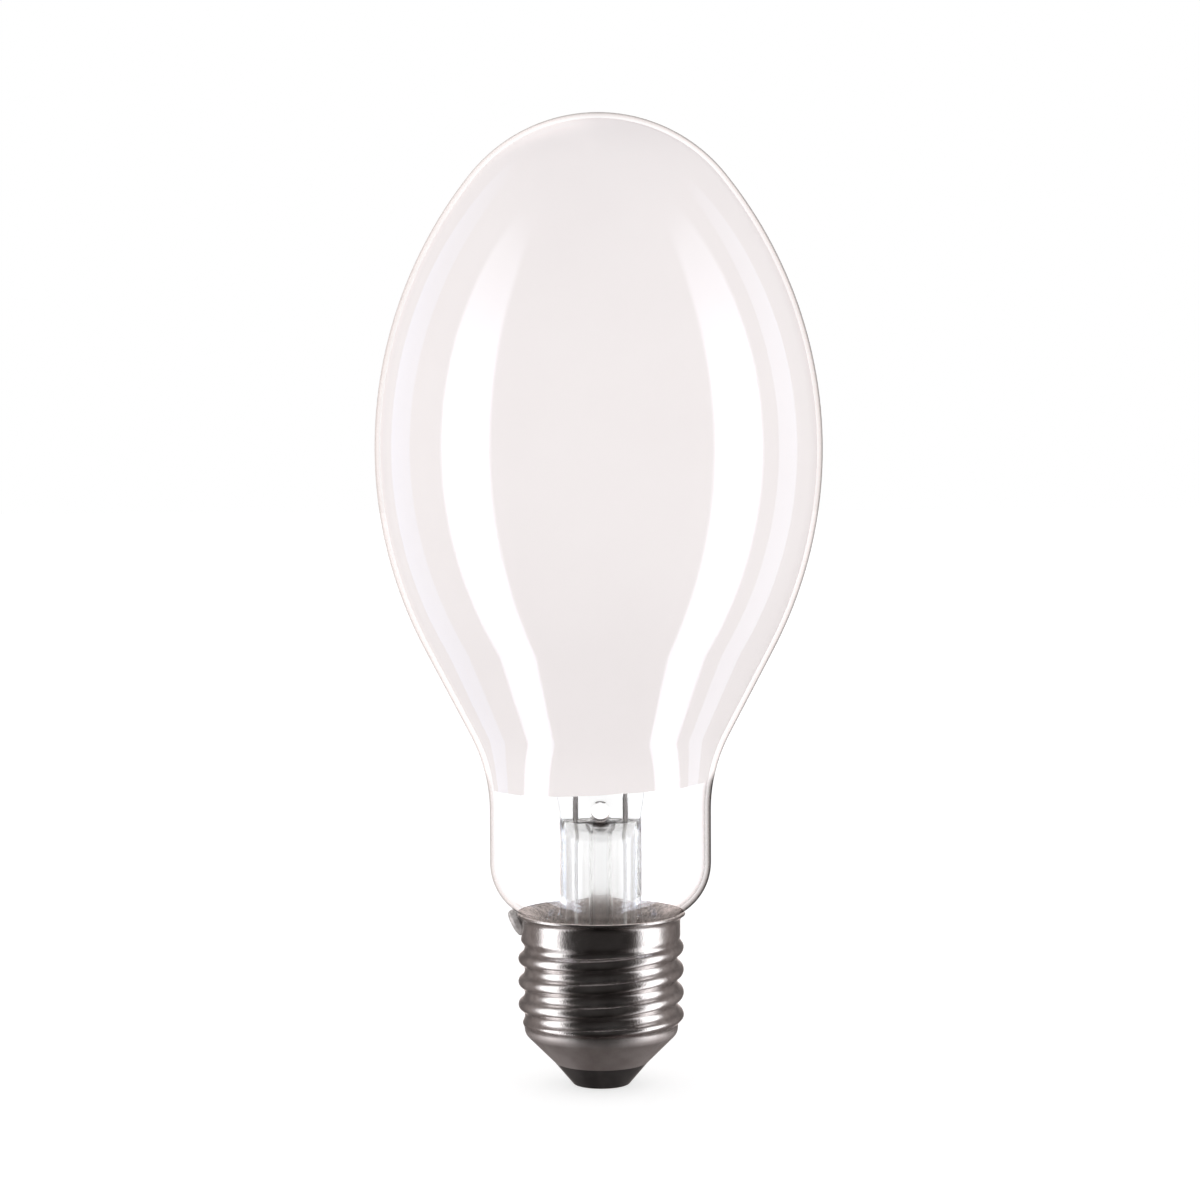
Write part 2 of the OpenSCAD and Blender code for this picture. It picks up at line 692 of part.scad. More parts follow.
module electrode_coil(top) {
    per_turn = 10;
    sides = 6;
    wire_r = coil_wire_d / 2;
    helix_r = (electrode_d / 2 + wire_r + coil_gap) / cos(180 / per_turn);
    z0 = arc_foot_z + plug_l + electrode_l - coil_pitch * coil_turns - electrode_d;
    n = per_turn * coil_turns;
    points = [for (i = [0 : n], k = [0 : sides - 1])
        let (a = 360 * i / per_turn, b = 360 * k / sides,
            r = helix_r + wire_r * cos(b))
        [r * cos(a), r * sin(a), z0 + coil_pitch * i / per_turn + wire_r * sin(b)]];
    faces = concat(
        [[for (k = [sides - 1 : -1 : 0]) k]],
        [for (i = [0 : n - 1], k = [0 : sides - 1])
            let (a = i * sides + k, b = i * sides + (k + 1) % sides)
            [a, b, b + sides, a + sides]],
        [[for (k = [0 : sides - 1]) n * sides + k]]);
    color("#85878c") at_end(top) polyhedron(points, faces);
}

module lower_end_plug() {
    end_plug(false);
}

module upper_end_plug() {
    end_plug(true);
}

module lower_frit_ring() {
    frit_ring(false);
}

module upper_frit_ring() {
    frit_ring(true);
}

module lower_niobium_tube() {
    niobium_tube(false);
}

module upper_niobium_tube() {
    niobium_tube(true);
}

module lower_electrode_rod() {
    electrode_rod(false);
}

module upper_electrode_rod() {
    electrode_rod(true);
}

module lower_electrode_coil() {
    electrode_coil(false);
}

module upper_electrode_coil() {
    electrode_coil(true);
}

module amalgam_pellet() {
    r = pellet_d / 2;
    color("#b9bcc2") translate([(electrode_d / 2 + arc_bore_r) / 2, 0, arc_foot_z + plug_l])
        difference() {
            translate([0, 0, r * 0.8]) sphere(r);
            translate([-r, -r, -2 * r]) cube(2 * r);
        }
}

// A flat strap clenched round the niobium tube and the short support wire
module lower_strap() {
    reach = post_offset / 2;
    color("#a7a9ad") translate([0, 0, lower_strap_z - strap_w / 2]) linear_extrude(strap_w)
        difference() {
            union() {
                circle(niobium_r + strip_t);
                translate([-reach, 0]) circle(support_r + strip_t);
                translate([-reach, -strip_t]) square([reach, 2 * strip_t]);
            }
            circle(niobium_r);
            translate([-reach, 0]) circle(support_r);
        }
}

// A springy arched strip that lets the arc tube grow as it heats
module upper_strap() {
    span = post_offset - support_r - niobium_r;
    rise = strap_arch;
    arch_r = (pow(span / 2, 2) + rise * rise) / (2 * rise);
    half = asin(span / 2 / arch_r);
    mid_x = niobium_r + span / 2;
    arch_z = upper_strap_z - arch_r + rise;
    color("#a7a9ad") union() {
        rotate([90, 0, 0]) linear_extrude(strap_w, center = true) polygon(concat(
            arc(mid_x, arch_z, arch_r, 90 + half, 90 - half),
            reversed(arc(mid_x, arch_z, arch_r - strip_t, 90 + half, 90 - half))));
        translate([0, 0, upper_strap_z - strap_w / 2])
            ring_clip(0, niobium_r);
        translate([0, 0, upper_strap_z - strap_w / 2])
            ring_clip(post_offset, support_r);
    }
}

module ring_clip(x, r) {
    translate([x, 0, 0]) rotate_extrude() polygon([
        [r, 0], [r + strip_t, 0], [r + strip_t, strap_w], [r, strap_w]]);
}

module getter_strip() {
    color("#77787c") union() {
        translate([0, 0, getter_z - strap_w / 2]) ring_clip(post_offset, support_r);
        translate([post_offset - getter_w / 2, support_r + strip_t / 2, getter_z - getter_l / 2])
            cube([getter_w, strip_t, getter_l]);
    }
}

module heat_band(top) {
    color("#b7b3b4") at_end(top) tube(arc_foot_z + strap_inset, band_h, arc_r + strip_t, arc_r);
}

module lower_heat_band() {
    heat_band(false);
}

module upper_heat_band() {
    heat_band(true);
}

screw_shell();
cap_insulator();
centre_contact();
centre_solder();
side_solder();
capping_cement();
outer_bulb();
diffusing_coat();
stem();
exhaust_tube();
centre_lead_wire();
side_lead_wire();
centre_seal_wire();
side_seal_wire();
short_support_wire();
long_support_wire();
arc_tube();
lower_end_plug();
upper_end_plug();
lower_frit_ring();
upper_frit_ring();
lower_niobium_tube();
upper_niobium_tube();
lower_electrode_rod();
upper_electrode_rod();
lower_electrode_coil();
upper_electrode_coil();
amalgam_pellet();
lower_strap();
upper_strap();
getter_strip();
lower_heat_band();
upper_heat_band();
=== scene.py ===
"""High pressure sodium lamp: the looks of every piece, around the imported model.

Lengths are written in millimetres, as in the part's source, and turned into metres by MM.
The lamp's axis is Z, and the camera looks along +Y.
"""

import json
import math

import bmesh
import bpy
from mathutils import Matrix, Vector, noise


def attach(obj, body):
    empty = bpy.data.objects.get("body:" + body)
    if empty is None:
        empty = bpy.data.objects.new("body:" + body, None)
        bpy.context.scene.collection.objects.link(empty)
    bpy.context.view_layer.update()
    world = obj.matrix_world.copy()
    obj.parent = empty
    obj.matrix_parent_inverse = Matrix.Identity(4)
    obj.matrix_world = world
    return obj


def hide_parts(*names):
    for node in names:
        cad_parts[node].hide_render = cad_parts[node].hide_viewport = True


MM = 0.001

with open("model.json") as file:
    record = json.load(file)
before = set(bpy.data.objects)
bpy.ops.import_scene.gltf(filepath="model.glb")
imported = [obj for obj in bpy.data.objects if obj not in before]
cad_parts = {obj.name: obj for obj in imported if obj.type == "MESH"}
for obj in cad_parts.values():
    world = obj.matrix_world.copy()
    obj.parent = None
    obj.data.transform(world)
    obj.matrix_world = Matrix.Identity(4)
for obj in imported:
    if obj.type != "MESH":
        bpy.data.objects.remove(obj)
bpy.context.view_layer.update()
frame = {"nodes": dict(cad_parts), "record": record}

# Outer bulb
LAMP_H = 152.9
BULB_R = 35.1
DOME_R = 25.8
BELLY_RATIO = 0.5196
NECK_BLEND_R = 26.2
TAPER_L = 15.1
NECK_R = 17.45
NECK_L = 8.2
GLASS_T = 0.9
SHOULDER_ANGLE = math.radians(62.7)
RIM_GAP = 0.66
TUCK_IN_R = 10.5
TUCK_R = 2.0
SEAL_Z = 16.0
COAT_T = 0.12
COAT_BED = 0.03
COAT_TILT = math.radians(2.3)
COAT_WAVE = 0.16
COAT_EDGE_H = 2.5
CEMENT_BED = 0.03
CEMENT_GAP = 0.1

# Screw cap
CAP_H = 27.4
CREST_R = 13.1
ROOT_R = 12.1
PITCH = 3.629
PHASE_Z = 21.95
THREAD_TOP_Z = 23.9
THREAD_FADE = 2.0
SHEET_T = 0.3
SKIRT_R = 12.57
LIP_R = 1.25
LIP_ANGLE = math.radians(68)
NOTCH_W = 0.9
NOTCH_H = 1.7
NOTCH_DEPTH = 4.0
BLOB_R = 1.0
BLOB_FOOT_R = 0.68
BLOB_FILL = 0.97
BLOB_LUMPS = ((0.13, 1.7), (0.05, 5.0))
SHELL_BASE_R = 12.15
BASE_EDGE_R = 1.7
CONE_END_R = 7.45
CONE_END_Z = 3.7

# Contact end
FOOT_R = 4.65
FOOT_Z = 0.15
INSULATOR_TOP_Z = 7.2
INSULATOR_EDGE_H = 0.5
INSULATOR_FOOT_EDGE_R = 0.35
CONTACT_R = 4.1
CONTACT_T = 0.65
CONTACT_BEVEL = 0.5
DIMPLE_R = 2.0
DIMPLE_H = 0.2
EYELET_R = 1.6
EYELET_H = 2.2
LEAD_R = 0.3

# Glass stem
STEM_R = 6.45
STEM_T = 0.9
FLARE_H = 8.0
FLARE_RIM_H = 1.0
PRESS_Z = SEAL_Z + 26.4
PRESS_TOP_Z = PRESS_Z + 9.2
PRESS_HALF_T = 1.75
PRESS_EDGE_R = 0.6
PRESS_SPREAD = 0.5
PRESS_SPREAD_H = 4.5
PRESS_SQUARENESS = 1.6
HOLLOW_HALF_T = 0.25
HOLLOW_SQUARENESS = 0.6
CLOSE_Z = PRESS_Z - 3.6
EXHAUST_R = 1.9
EXHAUST_T = 0.65
EXHAUST_TIP_Z = 12.0
EXHAUST_TIP_H = 2.0
COLLAR_R = 2.4
COLLAR_H = 0.5
COLLAR_FADE_H = 1.1
COLLAR_Z = PRESS_Z - 1.0
VENT_R = 1.5
VENT_Z = PRESS_Z + 1.0
WIRE_X = 3.9
SEAL_WIRE_R = 0.4

# Places that follow from the sizes above
LIP_X = SKIRT_R + LIP_R
LIP_Z = CAP_H - (LIP_R + SHEET_T) * math.sin(LIP_ANGLE)
SHOULDER_W = NECK_R + RIM_GAP - LIP_X + (LIP_R + SHEET_T) * math.cos(LIP_ANGLE)
SHOULDER_R = SHOULDER_W / (1 - math.cos(SHOULDER_ANGLE))
SHOULDER_X = NECK_R - SHOULDER_R
SHOULDER_Z = CAP_H + SHOULDER_R * math.sin(SHOULDER_ANGLE)
NECK_TOP_Z = SHOULDER_Z + NECK_L
BELLY_Z = NECK_TOP_Z + BELLY_RATIO * (LAMP_H - NECK_TOP_Z)
DOME_Z = LAMP_H - DOME_R
DOME_LIFT = DOME_Z - BELLY_Z
UPPER_SIDE_R = (DOME_LIFT ** 2 + BULB_R ** 2 - DOME_R ** 2) / (2 * (BULB_R - DOME_R))
DOME_JOIN = math.atan2(DOME_LIFT, UPPER_SIDE_R - BULB_R)
WAIST = BULB_R - NECK_R
LOWER_H = BELLY_Z - NECK_TOP_Z
CURVES_R = (LOWER_H ** 2 + WAIST ** 2 - TAPER_L ** 2) / (2 * WAIST)
LOWER_SIDE_R = CURVES_R - NECK_BLEND_R
TAPER = math.atan2(LOWER_H, CURVES_R - WAIST) - math.atan2(TAPER_L, CURVES_R)
TUCK_ANGLE = math.acos((TUCK_IN_R - SHOULDER_X + TUCK_R) / (SHOULDER_R + TUCK_R))
TUCK_X = TUCK_IN_R + TUCK_R
TUCK_Z = SHOULDER_Z - (SHOULDER_R + TUCK_R) * math.sin(TUCK_ANGLE)
COAT_EDGE_Z = CAP_H + 20.4
THREAD_MID_R = (CREST_R + ROOT_R) / 2
THREAD_DEPTH = CREST_R - ROOT_R
KNUCKLE_R = ((PITCH / 2) ** 2 + THREAD_DEPTH ** 2) / (4 * THREAD_DEPTH)
THREAD_BOTTOM_Z = CONE_END_Z + SHELL_BASE_R - CONE_END_R + BASE_EDGE_R * (math.sqrt(2) - 1)

# Looks of the glass: share mirrored face on and added at the edge, how much lighter the painted
# edge shade is on the inner skin, the tint of light that only passes, and the share that thick glass
# doesn't bend
MIRROR_FACE = 0.042
MIRROR_EDGE = 0.4
INNER_SKIN_SHADE_LIFT = 0.65
PASSING_TINT = (0.97, 0.97, 0.97)
STRAIGHT_SHARE = 0.15
# Painted shade, a dark spot at the joint of the exhaust tube: its height over the collar and its half sizes
JOINT_SHADE_RISE = 0.3
JOINT_SHADE_HALF = (2.3, 6.0, 1.2)
# Shift of the painted edge shade over the coat, where it is lighter, and on the -X and +X side of the
# neck, where the +X side gets the darker painted shade
COAT_SHADE_SHIFT = 0.06
NECK_SHADE_SHIFTS = (-0.01, 0.07)
NECK_SHADE_SHIFT_X = (-10.0, 14.0)
COAT_FADE_H = 2.0

# The cap's metal is bright above the first height and dull below the second
BRIGHT_Z = 10.2
DULL_Z = 8.6

# Camera
CAMERA_DISTANCE = 400.0
CAMERA_HEIGHT = 91.9
CAMERA_ASIDE = 0.1
CAMERA_PITCH = math.radians(2.16)
CAMERA_ROLL = math.radians(-0.27)
LENS_PX = 2540.0
PHOTO_PX = 1200.0

# Brightness of the studio's soft light on matt surfaces
SOFT_LIGHT = 1.4

# Finish of the meshes
TURN_STEPS = 192
STEM_STEPS = 128
SMALL_STEPS = 64
THREAD_ROWS = 96
SHARP_ANGLE = math.radians(32)
MERGE_DIST = 0.0005
SLIVER = 0.0002
PLAY = 0.01


def arc(x, z, r, start, end, steps):
    """Points along an arc of an outline, with the angles in radians."""
    angles = [start + (end - start) * i / steps for i in range(steps + 1)]
    return [(x + r * math.cos(a), z + r * math.sin(a)) for a in angles]


def ease(t):
    """Smooth step from 0 to 1."""
    t = min(1.0, max(0.0, t))
    return t * t * (3 - 2 * t)


def bulb_upper(inset):
    """Dome and sides down to the start of the neck."""
    return (
        arc(0, DOME_Z, DOME_R - inset, math.pi / 2, DOME_JOIN, 30)
        + arc(BULB_R - UPPER_SIDE_R, BELLY_Z, UPPER_SIDE_R - inset, DOME_JOIN, 0, 28)[1:]
        + arc(BULB_R - LOWER_SIDE_R, BELLY_Z, LOWER_SIDE_R - inset, 0, -TAPER, 22)[1:]
        + arc(NECK_R + NECK_BLEND_R, NECK_TOP_Z, NECK_BLEND_R + inset,
            math.pi - TAPER, math.pi, 16)
    )


def bulb_lower(inset):
    """Shoulder and narrow end down to the seal."""
    return (
        arc(SHOULDER_X, SHOULDER_Z, SHOULDER_R - inset, 0, -TUCK_ANGLE, 24)
        + arc(TUCK_X, TUCK_Z, TUCK_R + inset, math.pi - TUCK_ANGLE, math.pi, 8)
        + [(TUCK_IN_R - inset, SEAL_Z)]
    )


def radius_at(points, z):
    """Radius of an outline that runs downwards, at a height."""
    for (r0, z0), (r1, z1) in zip(points, points[1:]):
        if z0 >= z >= z1 and z0 > z1:
            return r0 + (r1 - r0) * (z0 - z) / (z0 - z1)
    return points[-1][0]


def knuckle(u):
    """Height of the round thread over its middle, at a distance from a crest."""
    d = abs(u - PITCH * round(u / PITCH))
    q = PITCH / 2 - d
    if d < PITCH / 4:
        return THREAD_DEPTH / 2 - KNUCKLE_R + math.sqrt(KNUCKLE_R ** 2 - d * d)
    return KNUCKLE_R - THREAD_DEPTH / 2 - math.sqrt(KNUCKLE_R ** 2 - q * q)


def thread_r(z, turn):
    """Radius of the rolled thread at a height, and at a share of a turn round the cap."""
    fade_in = ease((z - THREAD_BOTTOM_Z) / THREAD_FADE)
    fade_out = ease((THREAD_TOP_Z - z) / THREAD_FADE)
    base = SHELL_BASE_R + (THREAD_MID_R - SHELL_BASE_R) * fade_in
    plain = SKIRT_R + (base - SKIRT_R) * fade_out
    return plain + fade_in * fade_out * knuckle(z - PHASE_Z - PITCH * turn)


def finish_mesh(bm, name):
    """Turns a bmesh in millimetres into a smooth object in metres, with its sharp edges kept."""
    bmesh.ops.remove_doubles(bm, verts=bm.verts, dist=MERGE_DIST)
    bmesh.ops.recalc_face_normals(bm, faces=bm.faces)
    for face in bm.faces:
        face.smooth = True
    for edge in bm.edges:
        if len(edge.link_faces) == 2 and edge.calc_face_angle(0.0) > SHARP_ANGLE:
            edge.smooth = False
    bmesh.ops.scale(bm, vec=(MM, MM, MM), verts=bm.verts)
    mesh = bpy.data.meshes.new(name)
    bm.to_mesh(mesh)
    bm.free()
    piece = bpy.data.objects.new(name, mesh)
    bpy.context.collection.objects.link(piece)
    return piece


def skin_rings(bm, rings, closed=True):
    """Joins rings of points, each a list as long as the others, with quads."""
    rows = [[bm.verts.new(p) for p in ring] for ring in rings]
    pairs = list(zip(rows, rows[1:]))
    if closed:
        pairs.append((rows[-1], rows[0]))
    for low, high in pairs:
        n = len(low)
        for i in range(n):
            j = (i + 1) % n
            bm.faces.new((low[i], low[j], high[j], high[i]))


def ring_of(radii, z):
    """A ring of points at a height, with a radius for each step of the turn."""
    steps = len(radii)
    angles = [2 * math.pi * i / steps for i in range(steps)]
    return [(r * math.cos(a), r * math.sin(a), z) for r, a in zip(radii, angles)]


def skin(name, rings, closed=True):
    """A piece whose surface runs over rings of points, without points that fall together."""
    bm = bmesh.new()
    skin_rings(bm, rings, closed)
    bmesh.ops.remove_doubles(bm, verts=bm.verts, dist=MERGE_DIST)
    bmesh.ops.dissolve_degenerate(bm, edges=bm.edges, dist=SLIVER)
    return finish_mesh(bm, name)


def lathe(name, outline, steps=TURN_STEPS):
    """Turns a closed outline of (radius, height) round the axis."""
    return skin(name, [ring_of([r] * steps, z) for r, z in outline])


def cut(piece, tools):
    """Cuts tool meshes out of a piece and deletes the tools."""
    for tool in tools:
        step = piece.modifiers.new("cut", "BOOLEAN")
        step.operation = "DIFFERENCE"
        step.solver = "EXACT"
        step.object = tool
        bpy.context.view_layer.objects.active = piece
        bpy.ops.object.modifier_apply(modifier=step.name)
        bpy.data.objects.remove(tool, do_unlink=True)


def rod(x, z0, z1, r, steps=48):
    """A plain upright tool for cutting, at a place on the X axis."""
    bm = bmesh.new()
    bmesh.ops.create_cone(
        bm, cap_ends=True, segments=steps, radius1=r, radius2=r, depth=z1 - z0,
        matrix=Matrix.Translation((x, 0, (z0 + z1) / 2)))
    return finish_mesh(bm, "tool")


class Shader:
    """A short way to write a node tree."""

    def __init__(self, tree):
        self.tree = tree
        self.tree.nodes.clear()

    def add(self, kind, inputs=None, **settings):
        node = self.tree.nodes.new(kind)
        for key, value in settings.items():
            setattr(node, key, value)
        for key, value in (inputs or {}).items():
            socket = node.inputs[key]
            if isinstance(value, bpy.types.NodeSocket):
                self.tree.links.new(value, socket)
            else:
                socket.default_value = value
        return node

    def math(self, operation, *values):
        node = self.add("ShaderNodeMath", dict(enumerate(values)), operation=operation)
        return node.outputs[0]

    def ramp(self, factor, stops, interpolation="EASE"):
        node = self.add("ShaderNodeValToRGB", {"Fac": factor})
        node.color_ramp.interpolation = interpolation
        while len(node.color_ramp.elements) < len(stops):
            node.color_ramp.elements.new(0.5)
        for element, (place, colour) in zip(node.color_ramp.elements, stops):
            element.position = place
            element.color = (*colour, 1.0)
        return node.outputs["Color"]

    def mix_colour(self, factor, a, b, blend="MIX"):
        node = self.add("ShaderNodeMix", {0: factor, 6: a, 7: b}, data_type="RGBA", blend_type=blend)
        return node.outputs[2]

    def noise(self, scale, detail=4.0, roughness=0.55, vector=None):
        place = vector or self.add("ShaderNodeTexCoord").outputs["Object"]
        node = self.add("ShaderNodeTexNoise", {
            "Vector": place, "Scale": scale, "Detail": detail, "Roughness": roughness})
        return node.outputs["Fac"]

    def bump(self, height, strength, distance):
        node = self.add("ShaderNodeBump", {
            "Height": height, "Strength": strength, "Distance": distance})
        return node.outputs["Normal"]


def rgba(colour):
    return (*colour, 1.0)


def new_material(name):
    material = bpy.data.materials.new(name)
    material.use_nodes = True
    shader = Shader(material.node_tree)
    return material, shader


def surface(shader, socket):
    shader.add("ShaderNodeOutputMaterial", {"Surface": socket})


def stretched_place(shader, scale):
    """Object coordinates stretched along an axis."""
    place = shader.add("ShaderNodeTexCoord").outputs["Object"]
    return shader.add("ShaderNodeMapping", {"Vector": place, "Scale": scale}).outputs["Vector"]


def facing_share(shader):
    """How far a surface turns away from the eye."""
    return shader.add("ShaderNodeLayerWeight", {"Blend": 0.5}).outputs["Facing"]


def edge_shade(shader, facing, stops):
    """Painted shade at the glass's edges, darker the further the glass turns away, in place of the dark
    room seen through them.
    """
    return shader.ramp(facing, [(0.0, (1, 1, 1))] + stops, "LINEAR")


def glass_waves(shader):
    """Faint waves of blown glass."""
    return shader.bump(shader.noise(90.0, 2.0), 0.04, 0.0004)


def let_light_pass(shader, glass, least):
    """Clear to shadow and diffuse rays, and by the least share to all others."""
    clear = shader.add("ShaderNodeBsdfTransparent", {"Color": rgba(PASSING_TINT)})
    path = shader.add("ShaderNodeLightPath").outputs
    passing = shader.math("MAXIMUM", path["Is Shadow Ray"], path["Is Diffuse Ray"])
    share = shader.math("MAXIMUM", passing, least)
    mixed = shader.add("ShaderNodeMixShader", {0: share, 1: glass, 2: clear.outputs[0]})
    surface(shader, mixed.outputs[0])


def thin_glass_material(name, stops):
    """Thin blown glass: light goes straight through, with the gloss of glass on top.

    Its edges get painted shade, darker the further they turn away, in place of the dark room seen
    through them. The inner skin gets less of it than the outer one, so that one line shows at the edge.
    The painted line is light over the coat and darkest on the +X side of the neck, as in the photo.
    """
    material, s = new_material(name)
    facing = facing_share(s)
    place = s.add("ShaderNodeTexCoord").outputs["Object"]
    axes = s.add("ShaderNodeSeparateXYZ", {"Vector": place}).outputs
    # Painted shade on one side: the edge shade is shifted darker towards +X on the neck, and lighter over
    # the coat
    side = s.add("ShaderNodeMapRange", {
        "Value": axes["X"], "From Min": NECK_SHADE_SHIFT_X[0] * MM, "From Max": NECK_SHADE_SHIFT_X[1] * MM,
        "To Min": NECK_SHADE_SHIFTS[0], "To Max": NECK_SHADE_SHIFTS[1]}).outputs[0]
    neck = s.add("ShaderNodeMapRange", {
        "Value": axes["Z"], "From Min": (COAT_EDGE_Z + COAT_FADE_H) * MM,
        "From Max": COAT_EDGE_Z * MM}).outputs[0]
    shift = s.math("SUBTRACT", s.math("MULTIPLY", neck, s.math("ADD", side, COAT_SHADE_SHIFT)),
        COAT_SHADE_SHIFT)
    # Painted shade at the outer skin's edge
    outer_edge_shade = edge_shade(s, s.math("ADD", facing, shift), stops)
    form = s.add("ShaderNodeNewGeometry").outputs
    # The inner skin, found by its normal, gets a lighter painted edge shade than the outer one
    around = s.add("ShaderNodeVectorMath", {0: place, 1: (1.0, 1.0, 0.0)},
        operation="MULTIPLY").outputs[0]
    outward = s.add("ShaderNodeVectorMath", {0: form["Normal"], 1: around},
        operation="DOT_PRODUCT").outputs["Value"]
    inner = s.math("ABSOLUTE", s.math("SUBTRACT", s.math("LESS_THAN", outward, 0.0),
        form["Backfacing"]))
    lift = s.math("MULTIPLY", inner, INNER_SKIN_SHADE_LIFT)
    tint = s.mix_colour(lift, outer_edge_shade, rgba((1, 1, 1)))
    edge = s.math("MULTIPLY", s.math("POWER", facing, 5.0), MIRROR_EDGE)
    mirror = s.math("ADD", edge, MIRROR_FACE)
    shine = s.add("ShaderNodeCombineColor", {0: mirror, 1: mirror, 2: mirror}).outputs[0]
    gloss = s.add("ShaderNodeBsdfGlossy", {
        "Color": shine, "Roughness": 0.0, "Normal": glass_waves(s)})
    through = s.add("ShaderNodeBsdfTransparent", {"Color": tint})
    both = s.add("ShaderNodeAddShader", {0: through.outputs[0], 1: gloss.outputs[0]})
    let_light_pass(s, both.outputs[0], 0.0)
    return material


def thick_glass_material(name, stops):
    """Thick clear glass that bends light and casts hardly a shadow.

    A dark spot of painted shade lies round the joint of the exhaust tube with the press, as in the photo,
    and the edges get painted shade as well. A small share of the light goes straight through, which keeps
    the corners of the press from black.
    """
    material, s = new_material(name)
    # Painted shade: a dark spot round the joint of the exhaust tube with the press
    place = s.add("ShaderNodeTexCoord").outputs["Object"]
    offset = s.add("ShaderNodeVectorMath", {
        0: place, 1: (0.0, 0.0, (COLLAR_Z + JOINT_SHADE_RISE) * MM)}, operation="SUBTRACT").outputs[0]
    share = s.add("ShaderNodeVectorMath", {
        0: offset, 1: tuple(1 / (half * MM) for half in JOINT_SHADE_HALF)}, operation="MULTIPLY")
    reach = s.add("ShaderNodeVectorMath", {0: share.outputs[0]}, operation="LENGTH")
    joint_shade = s.ramp(reach.outputs["Value"], [(0.5, (0.13, 0.11, 0.105)), (1.0, (1, 1, 1))])
    tint = s.mix_colour(1.0, edge_shade(s, facing_share(s), stops), joint_shade, "MULTIPLY")
    glass = s.add("ShaderNodeBsdfPrincipled", {
        "Base Color": tint, "Roughness": 0.0, "IOR": 1.4, "Transmission Weight": 1.0,
        "Normal": glass_waves(s)})
    let_light_pass(s, glass.outputs[0], STRAIGHT_SHARE)
    return material


def coat_material():
    """Fine white powder seen through the glass, with a faint cloudiness."""
    material, s = new_material("white_coat")
    cloud = s.noise(38.0, 3.0)
    colour = s.ramp(cloud, [(0.3, (0.885, 0.838, 0.838)), (0.7, (0.9, 0.855, 0.855))])
    grain = s.noise(2600.0, 2.0)
    coat = s.add("ShaderNodeBsdfPrincipled", {
        "Base Color": colour, "Roughness": 0.85, "Specular IOR Level": 0.1,
        "Normal": s.bump(grain, 0.1, 0.00003)})
    surface(s, coat.outputs[0])
    return material


def cap_material():
    """Nickel plated sheet: bright on the thread, dulled and brownish on the cone."""
    material, s = new_material("cap_metal")
    place = s.add("ShaderNodeTexCoord").outputs["Object"]
    height = s.add("ShaderNodeSeparateXYZ", {"Vector": place}).outputs["Z"]
    cone = s.add("ShaderNodeMapRange", {
        "Value": height, "From Min": BRIGHT_Z * MM, "From Max": DULL_Z * MM}).outputs[0]
    cloud = s.noise(260.0, 5.0, 0.6)
    bright = s.ramp(cloud, [(0.3, (0.5, 0.47, 0.46)), (0.7, (0.68, 0.655, 0.645))])
    dull = s.ramp(cloud, [(0.3, (0.4, 0.36, 0.35)), (0.7, (0.5, 0.46, 0.45))])
    fine = s.noise(3600.0, 2.0)
    spread = s.add("ShaderNodeMapRange", {
        "Value": cloud, "From Min": 0.3, "From Max": 0.7, "To Min": 0.16, "To Max": 0.25})
    rough = s.math("ADD", spread.outputs[0], s.math("MULTIPLY", cone, 0.42))
    metal = s.add("ShaderNodeBsdfPrincipled", {
        "Base Color": s.mix_colour(cone, bright, dull), "Metallic": 1.0, "Roughness": rough,
        "Normal": s.bump(fine, 0.4, 0.00006)})
    surface(s, metal.outputs[0])
    return material


def plain_metal(name, dark, light, roughness, scale, grain, metallic=1.0):
    """Metal with clouded tone and a fine grain along the lamp."""
    material, s = new_material(name)
    cloud = s.noise(scale, 4.0)
    colour = s.ramp(cloud, [(0.3, dark), (0.7, light)])
    lines = s.noise(grain, 2.0, vector=stretched_place(s, (1.0, 1.0, 0.15)))
    rough = s.add("ShaderNodeMapRange", {
        "Value": lines, "From Min": 0.3, "From Max": 0.7,
        "To Min": roughness * 0.8, "To Max": roughness * 1.25}).outputs[0]
    metal = s.add("ShaderNodeBsdfPrincipled", {
        "Base Color": colour, "Metallic": metallic, "Roughness": rough,
        "Normal": s.bump(lines, 0.15, 0.00004)})
    surface(s, metal.outputs[0])
    return material


def grain_material(name, dark, light, roughness, scale, depth):
    """Matt material with a mottled tone and a pitted surface."""
    material, s = new_material(name)
    speckle = s.noise(scale, 6.0, 0.7)
    colour = s.ramp(speckle, [(0.32, dark), (0.68, light)])
    matt = s.add("ShaderNodeBsdfPrincipled", {
        "Base Color": colour, "Roughness": roughness,
        "Normal": s.bump(speckle, 0.6, depth)})
    surface(s, matt.outputs[0])
    return material


def insulator_material():
    """Black glass with a soft skin."""
    material, s = new_material("cap_glass")
    cloud = s.noise(300.0, 4.0)
    colour = s.ramp(cloud, [(0.3, (0.018, 0.0165, 0.0165)), (0.7, (0.034, 0.031, 0.031))])
    glaze = s.add("ShaderNodeBsdfPrincipled", {
        "Base Color": colour, "Roughness": 0.3, "IOR": 1.5,
        "Normal": s.bump(s.noise(700.0, 3.0), 0.15, 0.00008)})
    surface(s, glaze.outputs[0])
    return material


